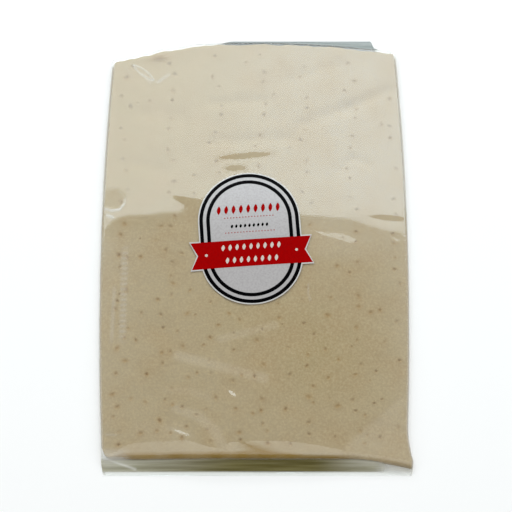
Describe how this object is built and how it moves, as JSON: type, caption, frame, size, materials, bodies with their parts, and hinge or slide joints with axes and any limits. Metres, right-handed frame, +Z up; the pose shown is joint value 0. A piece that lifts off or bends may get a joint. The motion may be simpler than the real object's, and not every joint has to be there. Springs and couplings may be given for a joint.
{
  "type": "bagged pizza crust",
  "caption": "Thin rectangular docked pizza crust, pale and lightly baked, sealed in a tight clear film bag with an oval label and a red ribbon band.",
  "frame": {"origin": "centre of the underside of the sealed bag, on the surface it lies on", "axes": "+Z up, out of the face with the label; +Y along the bag's length, towards the far seal; +X to the right as the label is read"},
  "size_m": [0.2052, 0.307, 0.0104],
  "materials": {
    "bag": "clear glossy film drawn tight over pale baked crust",
    "film": "clear glossy film",
    "crust": "matte floured crust, toasted at the rim",
    "label": "satin coated paper with printed fields of black and red"
  },
  "bodies": {
    "root": {"bag": "bag", "label": "label"}
  },
  "joints": []
}
